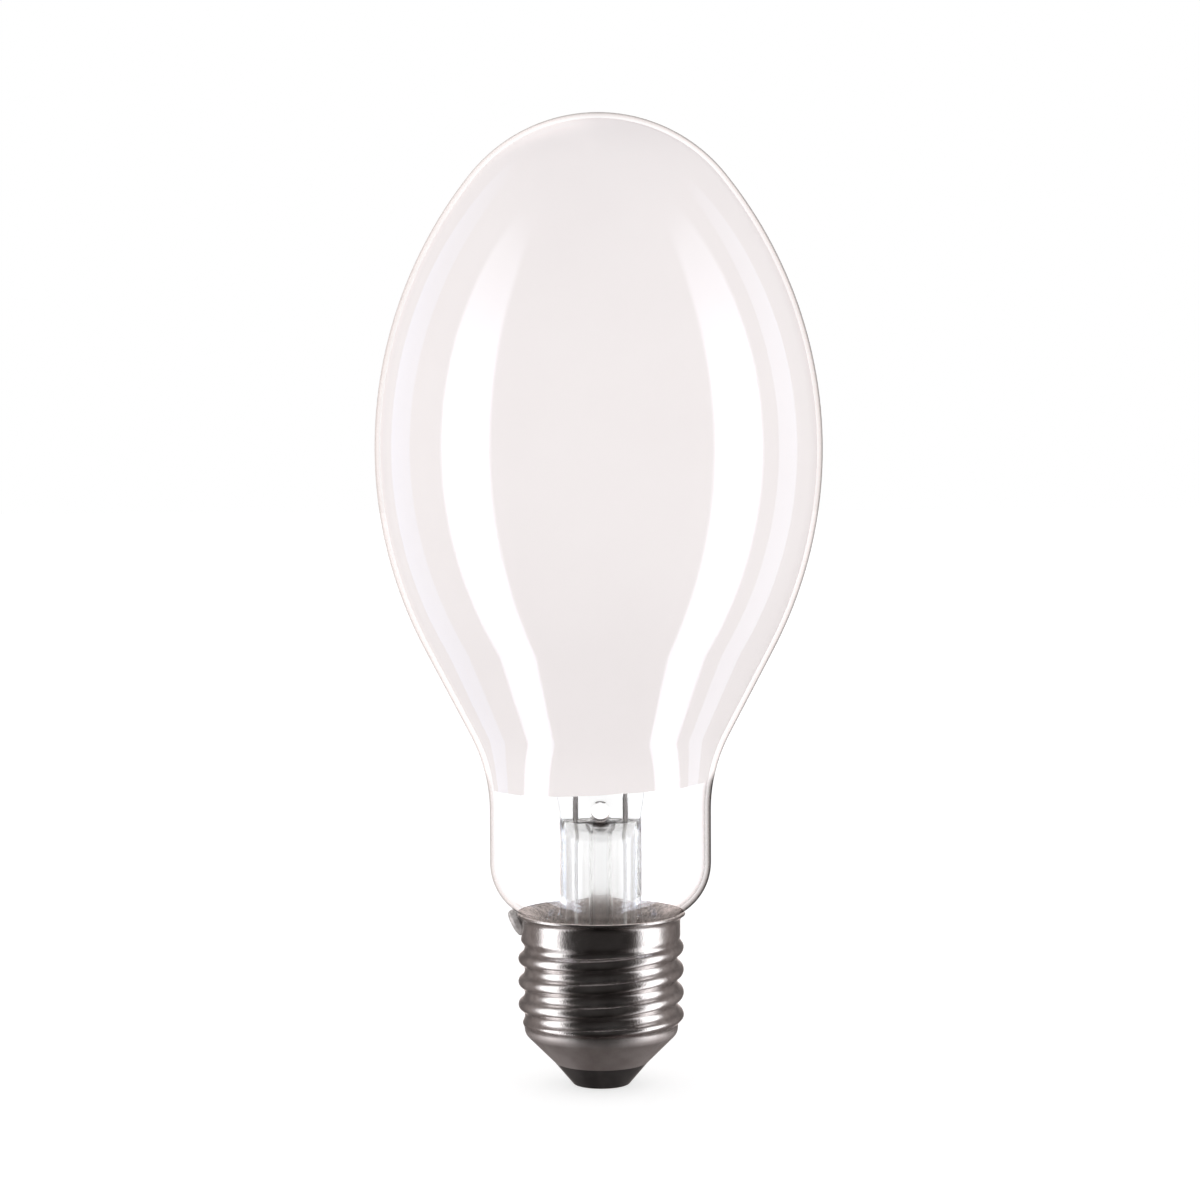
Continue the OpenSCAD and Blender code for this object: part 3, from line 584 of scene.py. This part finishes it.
def make_materials():
    """One material for each material slot of the record."""
    dull = (0.30, 0.29, 0.28)
    return {
        "cap_metal": cap_material(),
        "cap_glass": insulator_material(),
        "contact_brass": plain_metal(
            "contact_brass", (0.55, 0.42, 0.24), (0.74, 0.6, 0.38), 0.3, 500.0, 1500.0),
        "solder": plain_metal(
            "solder", (0.42, 0.39, 0.38), (0.78, 0.74, 0.73), 0.42, 900.0, 900.0, 0.4),
        "cement": grain_material(
            "cement", (0.38, 0.31, 0.285), (0.94, 0.84, 0.8), 0.9, 1700.0, 0.0003),
        # The stops of both glasses are painted edge shade, from clear face on to dark at the edge
        "clear_glass": thin_glass_material("clear_glass", [
            (0.6, (1, 1, 1)), (0.7, (0.945, 0.935, 0.935)), (0.8, (0.78, 0.76, 0.755)),
            (0.9, (0.4, 0.385, 0.38)), (1.0, (0.03, 0.027, 0.025))]),
        "stem_glass": thick_glass_material("stem_glass", [
            (0.4, (1, 1, 1)), (0.7, (0.95, 0.935, 0.93)), (0.86, (0.83, 0.8, 0.79)),
            (1.0, (0.74, 0.71, 0.7))]),
        "white_coat": coat_material(),
        "lead_wire": plain_metal(
            "lead_wire", (0.66, 0.64, 0.63), (0.82, 0.8, 0.79), 0.4, 400.0, 2500.0, 0.2),
        "seal_wire": plain_metal(
            "seal_wire", (0.4, 0.38, 0.375), (0.56, 0.535, 0.53), 0.45, 400.0, 2500.0, 0.2),
        "frame_wire": plain_metal("frame_wire", dull, (0.56, 0.56, 0.57), 0.28, 300.0, 2000.0),
        "arc_ceramic": grain_material(
            "arc_ceramic", (0.8, 0.78, 0.72), (0.9, 0.88, 0.83), 0.45, 900.0, 0.00002),
        "frit": grain_material("frit", (0.5, 0.47, 0.42), (0.68, 0.65, 0.6), 0.4, 1500.0, 0.00004),
        "niobium": plain_metal("niobium", (0.38, 0.38, 0.41), (0.52, 0.52, 0.55), 0.32, 400.0, 2000.0),
        "tungsten": plain_metal("tungsten", (0.22, 0.22, 0.24), (0.38, 0.38, 0.4), 0.5, 800.0, 2500.0),
        "amalgam": plain_metal("amalgam", (0.6, 0.61, 0.64), (0.74, 0.75, 0.78), 0.15, 900.0, 900.0),
        "strap_metal": plain_metal("strap_metal", (0.42, 0.42, 0.43), (0.6, 0.6, 0.61), 0.3, 300.0, 1800.0),
        "getter": grain_material("getter", (0.16, 0.16, 0.165), (0.32, 0.32, 0.33), 0.8, 2200.0, 0.0001),
    }


def dress(piece, node, slot):
    """Puts a piece in the place of a CAD node, with the finish of a material slot."""
    piece.data.materials.clear()
    piece.data.materials.append(materials[slot])
    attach(piece, "root")
    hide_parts(node)


def make_bulb():
    """Blown bulb with its wall, open at the seal."""
    outline = bulb_upper(0) + bulb_lower(0)
    inside = bulb_upper(GLASS_T) + bulb_lower(GLASS_T)
    return lathe("bulb_glass", outline + inside[::-1])


def make_coat():
    """The coat lies against the glass, and its lower edge is tilted and a little uneven."""
    outer = bulb_upper(GLASS_T - COAT_BED)
    inner = bulb_upper(GLASS_T + COAT_T)
    start = COAT_EDGE_Z + COAT_EDGE_H
    rows = 5

    def edge_z(turn):
        a = 2 * math.pi * turn
        wave = noise.noise(Vector((3 * math.cos(a), 3 * math.sin(a), 0.7)))
        return COAT_EDGE_Z + NECK_R * math.cos(a) * math.tan(COAT_TILT) + COAT_WAVE * wave

    def wall(points):
        kept = [p for p in points if p[1] > start]
        return kept + [(radius_at(points, start), start)]

    steps = TURN_STEPS
    rings = []
    for points, down in ((outer, True), (inner, False)):
        side = []
        for r, z in wall(points):
            side.append([(r, z)] * steps)
        for k in range(1, rows + 1):
            ring = []
            for i in range(steps):
                z = start + (edge_z(i / steps) - start) * k / rows
                ring.append((radius_at(points, z), z))
            side.append(ring)
        rings += side if down else side[::-1]
    return skin("coat", [
        [(r * math.cos(2 * math.pi * i / steps), r * math.sin(2 * math.pi * i / steps), z)
            for i, (r, z) in enumerate(ring)] for ring in rings])


def shell_side(inset, lip_r):
    """One face of the sheet as rings, from the end of the cone up to the lip."""
    slant = inset / math.sqrt(2)
    foot = [(CONE_END_R - slant, CONE_END_Z + slant)]
    foot += arc(SHELL_BASE_R - BASE_EDGE_R, THREAD_BOTTOM_Z, BASE_EDGE_R - inset,
        -math.pi / 4, 0, 8)[:-1]
    rings = [ring_of([r] * TURN_STEPS, z) for r, z in foot]
    turns = [i / TURN_STEPS for i in range(TURN_STEPS)]
    for j in range(THREAD_ROWS + 1):
        z = THREAD_BOTTOM_Z + (THREAD_TOP_Z - THREAD_BOTTOM_Z) * j / THREAD_ROWS
        rings.append(ring_of([thread_r(z, turn) - inset for turn in turns], z))
    lip = arc(LIP_X, LIP_Z, lip_r, math.pi, math.pi - LIP_ANGLE, 12)
    return rings + [ring_of([r] * TURN_STEPS, z) for r, z in lip]


def make_shell():
    """The cap as one sheet: cone, rolled thread, skirt and flared lip with its notch."""
    bm = bmesh.new()
    skin_rings(bm, shell_side(0.0, LIP_R) + shell_side(SHEET_T, LIP_R + SHEET_T)[::-1])
    shell = finish_mesh(bm, "shell")
    bm = bmesh.new()
    bmesh.ops.create_cube(bm, size=1.0)
    bmesh.ops.scale(bm, vec=(NOTCH_DEPTH, NOTCH_W, NOTCH_H + 1), verts=bm.verts)
    bmesh.ops.translate(
        bm, vec=(-SKIRT_R - 1.2, 0, CAP_H - NOTCH_H + (NOTCH_H + 1) / 2), verts=bm.verts)
    cut(shell, [finish_mesh(bm, "tool")])
    return shell


def make_insulator():
    """Black glass inside the foot of the cap, with the recess for the contact."""
    wall = SHEET_T / math.sqrt(2)
    edge_z = INSULATOR_TOP_Z + INSULATOR_EDGE_H
    foot = INSULATOR_FOOT_EDGE_R
    outline = [(EYELET_R, CONTACT_T), (CONTACT_R, CONTACT_T), (CONTACT_R, FOOT_Z)]
    outline += arc(FOOT_R - foot, FOOT_Z + foot, foot, -math.pi / 2, -math.radians(40), 6)
    outline += [(CONE_END_R, CONE_END_Z), (CONE_END_R - wall, CONE_END_Z + wall),
        (CONE_END_R - 2 * wall + edge_z - CONE_END_Z, edge_z),
        (CONTACT_R + 1.5, INSULATOR_TOP_Z), (EYELET_R, INSULATOR_TOP_Z)]
    return lathe("insulator", outline)


def make_contact():
    """Brass contact with its rolled edge, a dimple for the solder and the eyelet above."""
    bore = EYELET_R - SHEET_T
    outline = [(LEAD_R, DIMPLE_H), (DIMPLE_R - DIMPLE_H, DIMPLE_H), (DIMPLE_R, 0),
        (CONTACT_R - CONTACT_BEVEL, 0)]
    outline += arc(CONTACT_R - CONTACT_BEVEL, CONTACT_BEVEL, CONTACT_BEVEL,
        -math.pi / 3, -0.1, 5)
    outline += [(CONTACT_R, CONTACT_T), (EYELET_R, CONTACT_T), (EYELET_R, CONTACT_T + EYELET_H),
        (bore, CONTACT_T + EYELET_H), (bore, CONTACT_T), (LEAD_R, CONTACT_T)]
    return lathe("contact", outline, 96)


def make_cement():
    """Grainy cement between the glass and the cap, with a rough upper edge."""
    glass = bulb_lower(CEMENT_BED)
    above = [p for p in glass if p[1] >= CAP_H][-1]
    bed = [p for p in glass if p[1] < CAP_H]
    share = (above[1] - CAP_H) / (above[1] - bed[0][1])
    brim = (above[0] + (bed[0][0] - above[0]) * share, CAP_H)
    side_r = ROOT_R - SHEET_T - CEMENT_GAP
    lip = [p for p in arc(LIP_X, LIP_Z, LIP_R + SHEET_T, math.pi, math.pi - LIP_ANGLE, 8)
        if p[1] < CAP_H]
    outline = (bed[::-1] + [brim] + lip[::-1]
        + [(SKIRT_R - SHEET_T, THREAD_TOP_Z), (side_r, THREAD_TOP_Z), (side_r, SEAL_Z)])
    return lathe("cement_ring", outline)


def stem_section(z, inset):
    """Half width along X, half thickness along Y and squareness of the stem at a height."""
    t = ease((z - CLOSE_Z) / (PRESS_Z - CLOSE_Z))
    r = STEM_R - inset
    if inset:
        return r, r + (HOLLOW_HALF_T - r) * t, 2.0 + HOLLOW_SQUARENESS * t
    spread = PRESS_SPREAD * ease((z - PRESS_Z) / PRESS_SPREAD_H)
    return r + spread, r + (PRESS_HALF_T - r) * t, 2.0 + PRESS_SQUARENESS * t


def section_ring(z, inset):
    """Ring of the stem's section at a height: a circle that turns into a rounded oblong."""
    a, b, power = stem_section(z, inset)
    ring = []
    for i in range(STEM_STEPS):
        turn = 2 * math.pi * i / STEM_STEPS
        c, s = math.cos(turn), math.sin(turn)
        ring.append((
            a * math.copysign(abs(c) ** (2 / power), c),
            b * math.copysign(abs(s) ** (2 / power), s), z))
    return ring


def flare_rings(inset):
    """The flare of the stem, from the tube down and out to the seal."""
    rise = FLARE_H - FLARE_RIM_H
    out = TUCK_IN_R - GLASS_T - STEM_R
    fillet = (rise ** 2 + out ** 2) / (2 * out)
    turn = math.asin(rise / fillet)
    points = arc(STEM_R + fillet, SEAL_Z + FLARE_H, fillet + inset, math.pi, math.pi + turn, 14)
    points.append((TUCK_IN_R - GLASS_T - inset, SEAL_Z))
    return [ring_of([r] * STEM_STEPS, z) for r, z in points]


def make_stem():
    """Flared tube that closes into the flat press, with the exhaust hole through it."""
    edge_z = PRESS_TOP_Z - PRESS_EDGE_R
    rings = [[(0, 0, PRESS_TOP_Z)] * STEM_STEPS]
    for a in (0.5, 0.9, 1.25):
        z = edge_z + PRESS_EDGE_R * math.cos(a)
        rings.append([(x * math.sin(a), y * math.sin(a), z) for x, y, _ in section_ring(edge_z, 0)])
    rings += [section_ring(edge_z - (edge_z - CLOSE_Z) * k / 26, 0) for k in range(27)]
    rings += flare_rings(0)
    rings += flare_rings(STEM_T)[::-1]
    hollow_top = PRESS_Z - STEM_T
    rings += [section_ring(CLOSE_Z + (hollow_top - CLOSE_Z) * k / 14, STEM_T) for k in range(15)]
    rings.append([(0, 0, hollow_top + 0.05)] * STEM_STEPS)
    stem = skin("stem_tube", rings, closed=False)
    vent = rod(0, -STEM_R - 1, STEM_R + 1, VENT_R, SMALL_STEPS)
    vent.data.transform(Matrix.Translation((0, 0, VENT_Z * MM)) @ Matrix.Rotation(math.pi / 2, 4, "X"))
    wire_holes = [rod(x, CLOSE_Z - 2, PRESS_TOP_Z + 1, SEAL_WIRE_R + PLAY) for x in (WIRE_X, -WIRE_X)]
    cut(stem, [
        rod(0, CLOSE_Z - 1, COLLAR_Z, COLLAR_R + 2 * PLAY, SMALL_STEPS),
        rod(0, CLOSE_Z - 1, VENT_Z, EXHAUST_R - EXHAUST_T, SMALL_STEPS),
        vent] + wire_holes)
    return stem


def make_exhaust():
    """Thin tube with a collar at the press and a drop where it was sealed off."""
    bore = EXHAUST_R - EXHAUST_T
    fade_z = COLLAR_Z - COLLAR_H
    tip_z = EXHAUST_TIP_Z + EXHAUST_TIP_H
    outline = [(bore, COLLAR_Z), (COLLAR_R, COLLAR_Z), (COLLAR_R, fade_z)]
    outline += [(EXHAUST_R + (COLLAR_R - EXHAUST_R) * (1 - ease(k / 6)), fade_z - COLLAR_FADE_H * k / 6)
        for k in range(1, 7)]
    outline.append((EXHAUST_R, tip_z))
    outline += [(r * EXHAUST_R / EXHAUST_TIP_H, z)
        for r, z in arc(0, tip_z, EXHAUST_TIP_H, 0, -math.pi / 2, 8)[1:]]
    outline += [(0, tip_z - 0.4), (bore * 0.7, tip_z - 0.1), (bore, tip_z + 0.6)]
    return lathe("exhaust", outline, SMALL_STEPS)


def make_blob():
    """Solder run down from the notch in the lip, uneven and pitted."""
    bm = bmesh.new()
    bmesh.ops.create_icosphere(bm, subdivisions=5, radius=1.0)
    top = Vector((-LIP_X, 0, CAP_H - BLOB_R / 2))
    foot = Vector((-SKIRT_R - BLOB_FOOT_R / 3, 0, THREAD_TOP_Z + BLOB_FOOT_R * 0.8))
    down = (foot - top).normalized()
    for v in bm.verts:
        t = ease((v.co.dot(down) + 1) / 2)
        r = BLOB_R + (BLOB_FOOT_R - BLOB_R) * t
        lump = sum(height * noise.noise(v.co * scale) for height, scale in BLOB_LUMPS)
        v.co = top.lerp(foot, t) + v.co * (r * (BLOB_FILL + lump))
    return finish_mesh(bm, "solder_blob")


def make_floor():
    """Pale floor that keeps the lamp's shadow, as white to the eye as the room, clear to gloss."""
    bm = bmesh.new()
    bmesh.ops.create_grid(bm, x_segments=2, y_segments=2, size=30000.0)
    floor = finish_mesh(bm, "floor")
    material, s = new_material("floor_white")
    matt = s.add("ShaderNodeBsdfDiffuse", {"Color": rgba((0.97, 0.97, 0.97))})
    seen_matt = s.add("ShaderNodeBsdfDiffuse", {"Color": rgba((0.48, 0.48, 0.48))})
    glow = s.add("ShaderNodeEmission", {"Color": rgba((1, 1, 1)), "Strength": 0.65})
    both = s.add("ShaderNodeAddShader", {0: seen_matt.outputs[0], 1: glow.outputs[0]})
    path = s.add("ShaderNodeLightPath")
    seen = s.math("MAXIMUM", path.outputs["Is Camera Ray"], path.outputs["Is Transmission Ray"])
    mixed = s.add("ShaderNodeMixShader", {0: seen, 1: matt.outputs[0], 2: both.outputs[0]})
    clear = s.add("ShaderNodeBsdfTransparent", {"Color": rgba((1, 1, 1))})
    last = s.add("ShaderNodeMixShader", {
        0: path.outputs["Is Glossy Ray"], 1: mixed.outputs[0], 2: clear.outputs[0]})
    surface(s, last.outputs[0])
    floor.data.materials.append(material)


# Soft boxes of the studio, which only gloss sees: middle and half size in degrees, azimuth from
# the camera's side and elevation, softness of the edge, and colour. Metal sees wider, softer ones
SOFT_BOXES = (
    (-71.0, -10.0, 15.0, 66.0, 0.12, (4.7, 4.9, 5.6)),
    (75.5, -10.0, 15.5, 66.0, 0.12, (4.7, 4.9, 5.6)),
    (-121.0, 0.0, 10.0, 50.0, 0.1, (1.0, 1.2, 1.7)),
    (112.0, 0.0, 8.5, 50.0, 0.1, (1.7, 1.9, 2.3)),
)
METAL_BOXES = (
    (-79.0, 0.0, 16.0, 44.0, 0.6, (2.9, 2.9, 2.95)),
    (79.0, 0.0, 15.5, 44.0, 0.6, (2.9, 2.9, 2.95)),
)
# The soft boxes fade between these elevations
FADE_FROM = 18.0
FADE_TO = 58.0
# Walls of the studio between the soft boxes: azimuth and brightness in glass and in metal
GLASS_WALLS = ((-180, 0.4), (-170, 1.5), (-158, 1.4), (-143, 0.35), (-128, 0.25), (-100, 0.35),
    (-54, 0.16), (-45, 0.012), (45, 0.012), (54, 0.12), (100, 0.3), (140, 0.04), (170, 0.04),
    (180, 0.4))
METAL_WALLS = ((-180, 2.2), (-167, 0.3), (-150, 0.15), (-125, 0.3), (-100, 0.34), (-56, 0.12),
    (-44, 0.024), (42, 0.024), (54, 0.12), (100, 0.34), (125, 0.28), (150, 0.15), (167, 0.3),
    (180, 2.2))
WALL_TINT = (1.0, 0.88, 0.845)


def make_world():
    """White to the camera and through glass; a dim studio with tall soft boxes to gloss."""
    world = bpy.data.worlds.new("studio")
    bpy.context.scene.world = world
    world.use_nodes = True
    s = Shader(world.node_tree)
    way = s.add("ShaderNodeTexCoord").outputs["Generated"]
    axes = s.add("ShaderNodeSeparateXYZ", {"Vector": way}).outputs
    front = s.math("MULTIPLY", axes["Y"], -1.0)
    azimuth = s.math("DEGREES", s.math("ARCTAN2", axes["X"], front))
    elevation = s.math("DEGREES", s.math("ARCSINE", axes["Z"]))
    turn = s.math("DIVIDE", s.math("ADD", azimuth, 180.0), 360.0)
    walls = [s.ramp(turn, [
        ((a + 180) / 360, tuple(level * c for c in WALL_TINT)) for a, level in levels], "LINEAR")
        for levels in (GLASS_WALLS, METAL_WALLS)]
    height = s.math("DIVIDE", s.math("ADD", elevation, 90.0), 180.0)
    ends = s.ramp(height, [
        (0.0, (0.3, 0.27, 0.265)), (0.12, (0.3, 0.27, 0.265)), (0.24, (1, 1, 1)),
        (0.76, (1, 1, 1)), (0.86, (0.25, 0.25, 0.26)), (1.0, (0.25, 0.25, 0.26))], "LINEAR")
    fade = s.add("ShaderNodeMapRange", {
        "Value": elevation, "From Min": FADE_FROM, "From Max": FADE_TO, "To Min": 1.0,
        "To Max": 0.0}).outputs[0]

    def lit_room(wall, boxes):
        """A room with its soft boxes, which are rounded squares that fade upwards."""
        room = s.mix_colour(1.0, wall, ends, "MULTIPLY")
        for mid_a, mid_e, half_a, half_e, soft, colour in boxes:
            across = s.math("DIVIDE", s.math("SUBTRACT", azimuth, mid_a), half_a)
            along = s.math("DIVIDE", s.math("SUBTRACT", elevation, mid_e), half_e)
            reach = s.math("POWER", s.math("ADD", s.math("POWER", s.math("ABSOLUTE", across), 4.0),
                s.math("POWER", s.math("ABSOLUTE", along), 4.0)), 0.25)
            inside = s.add("ShaderNodeMapRange", {
                "Value": reach, "From Min": 1.0 + soft, "From Max": 1.0 - soft})
            inside.interpolation_type = "SMOOTHSTEP"
            share = s.math("MULTIPLY", inside.outputs[0], fade)
            room = s.mix_colour(share, room, rgba(colour))
        return room

    room = lit_room(walls[0], SOFT_BOXES)
    metal_room = lit_room(walls[1], METAL_BOXES)
    lift = s.ramp(height, [
        (0.0, (0.9, 0.9, 0.89)), (0.5, (1, 1, 0.975)), (0.62, (0.96, 0.96, 0.94)),
        (0.75, (0.66, 0.655, 0.67)), (1.0, (0.12, 0.115, 0.135))], "LINEAR")
    soft_light = s.add("ShaderNodeBackground", {"Color": lift, "Strength": SOFT_LIGHT})
    white = s.add("ShaderNodeBackground", {"Color": rgba((1, 1, 1)), "Strength": 1.0})
    path = s.add("ShaderNodeLightPath")
    mirrored = s.mix_colour(path.outputs["Is Singular Ray"], metal_room, room)
    gloss = s.add("ShaderNodeBackground", {"Color": mirrored, "Strength": 1.0})
    seen = s.math("MAXIMUM", path.outputs["Is Camera Ray"], path.outputs["Is Transmission Ray"])
    first = s.add("ShaderNodeMixShader", {
        0: path.outputs["Is Glossy Ray"], 1: soft_light.outputs[0], 2: gloss.outputs[0]})
    last = s.add("ShaderNodeMixShader", {0: seen, 1: first.outputs[0], 2: white.outputs[0]})
    s.add("ShaderNodeOutputWorld", {"Surface": last.outputs[0]})


def make_camera():
    """The photograph's camera: its place is in millimetres, and its lens in the photo's pixels."""
    data = bpy.data.cameras.new("camera")
    camera = bpy.data.objects.new("camera", data)
    bpy.context.collection.objects.link(camera)
    data.sensor_width = 36.0
    data.lens = LENS_PX / PHOTO_PX * data.sensor_width
    data.clip_start = 0.01
    data.clip_end = 100.0
    place = Matrix.Translation((CAMERA_ASIDE * MM, -CAMERA_DISTANCE * MM, CAMERA_HEIGHT * MM))
    turn = Matrix.Rotation(math.pi / 2 - CAMERA_PITCH, 4, "X")
    spin = Matrix.Rotation(CAMERA_ROLL, 4, "Z")
    camera.matrix_world = place @ turn @ spin
    bpy.context.scene.camera = camera


NODE_SLOTS = {row["node"]: row["material_slot"] for row in frame["record"]["subparts"]}

materials = make_materials()
dress(make_bulb(), "outer_bulb", "clear_glass")
dress(make_coat(), "diffusing_coat", "white_coat")
dress(make_shell(), "screw_shell", "cap_metal")
dress(make_insulator(), "cap_insulator", "cap_glass")
dress(make_contact(), "centre_contact", "contact_brass")
dress(make_cement(), "capping_cement", "cement")
dress(make_stem(), "stem", "stem_glass")
dress(make_exhaust(), "exhaust_tube", "stem_glass")
dress(make_blob(), "side_solder", "solder")

REPLACED = {"outer_bulb", "diffusing_coat", "screw_shell", "cap_insulator", "centre_contact",
    "capping_cement", "stem", "exhaust_tube", "side_solder"}
for node_name, slot_name in NODE_SLOTS.items():
    if node_name not in REPLACED:
        node_object = frame["nodes"][node_name]
        node_object.data.materials.clear()
        node_object.data.materials.append(materials[slot_name])

make_floor()
make_world()
make_camera()
bpy.context.scene.view_settings.view_transform = "Standard"
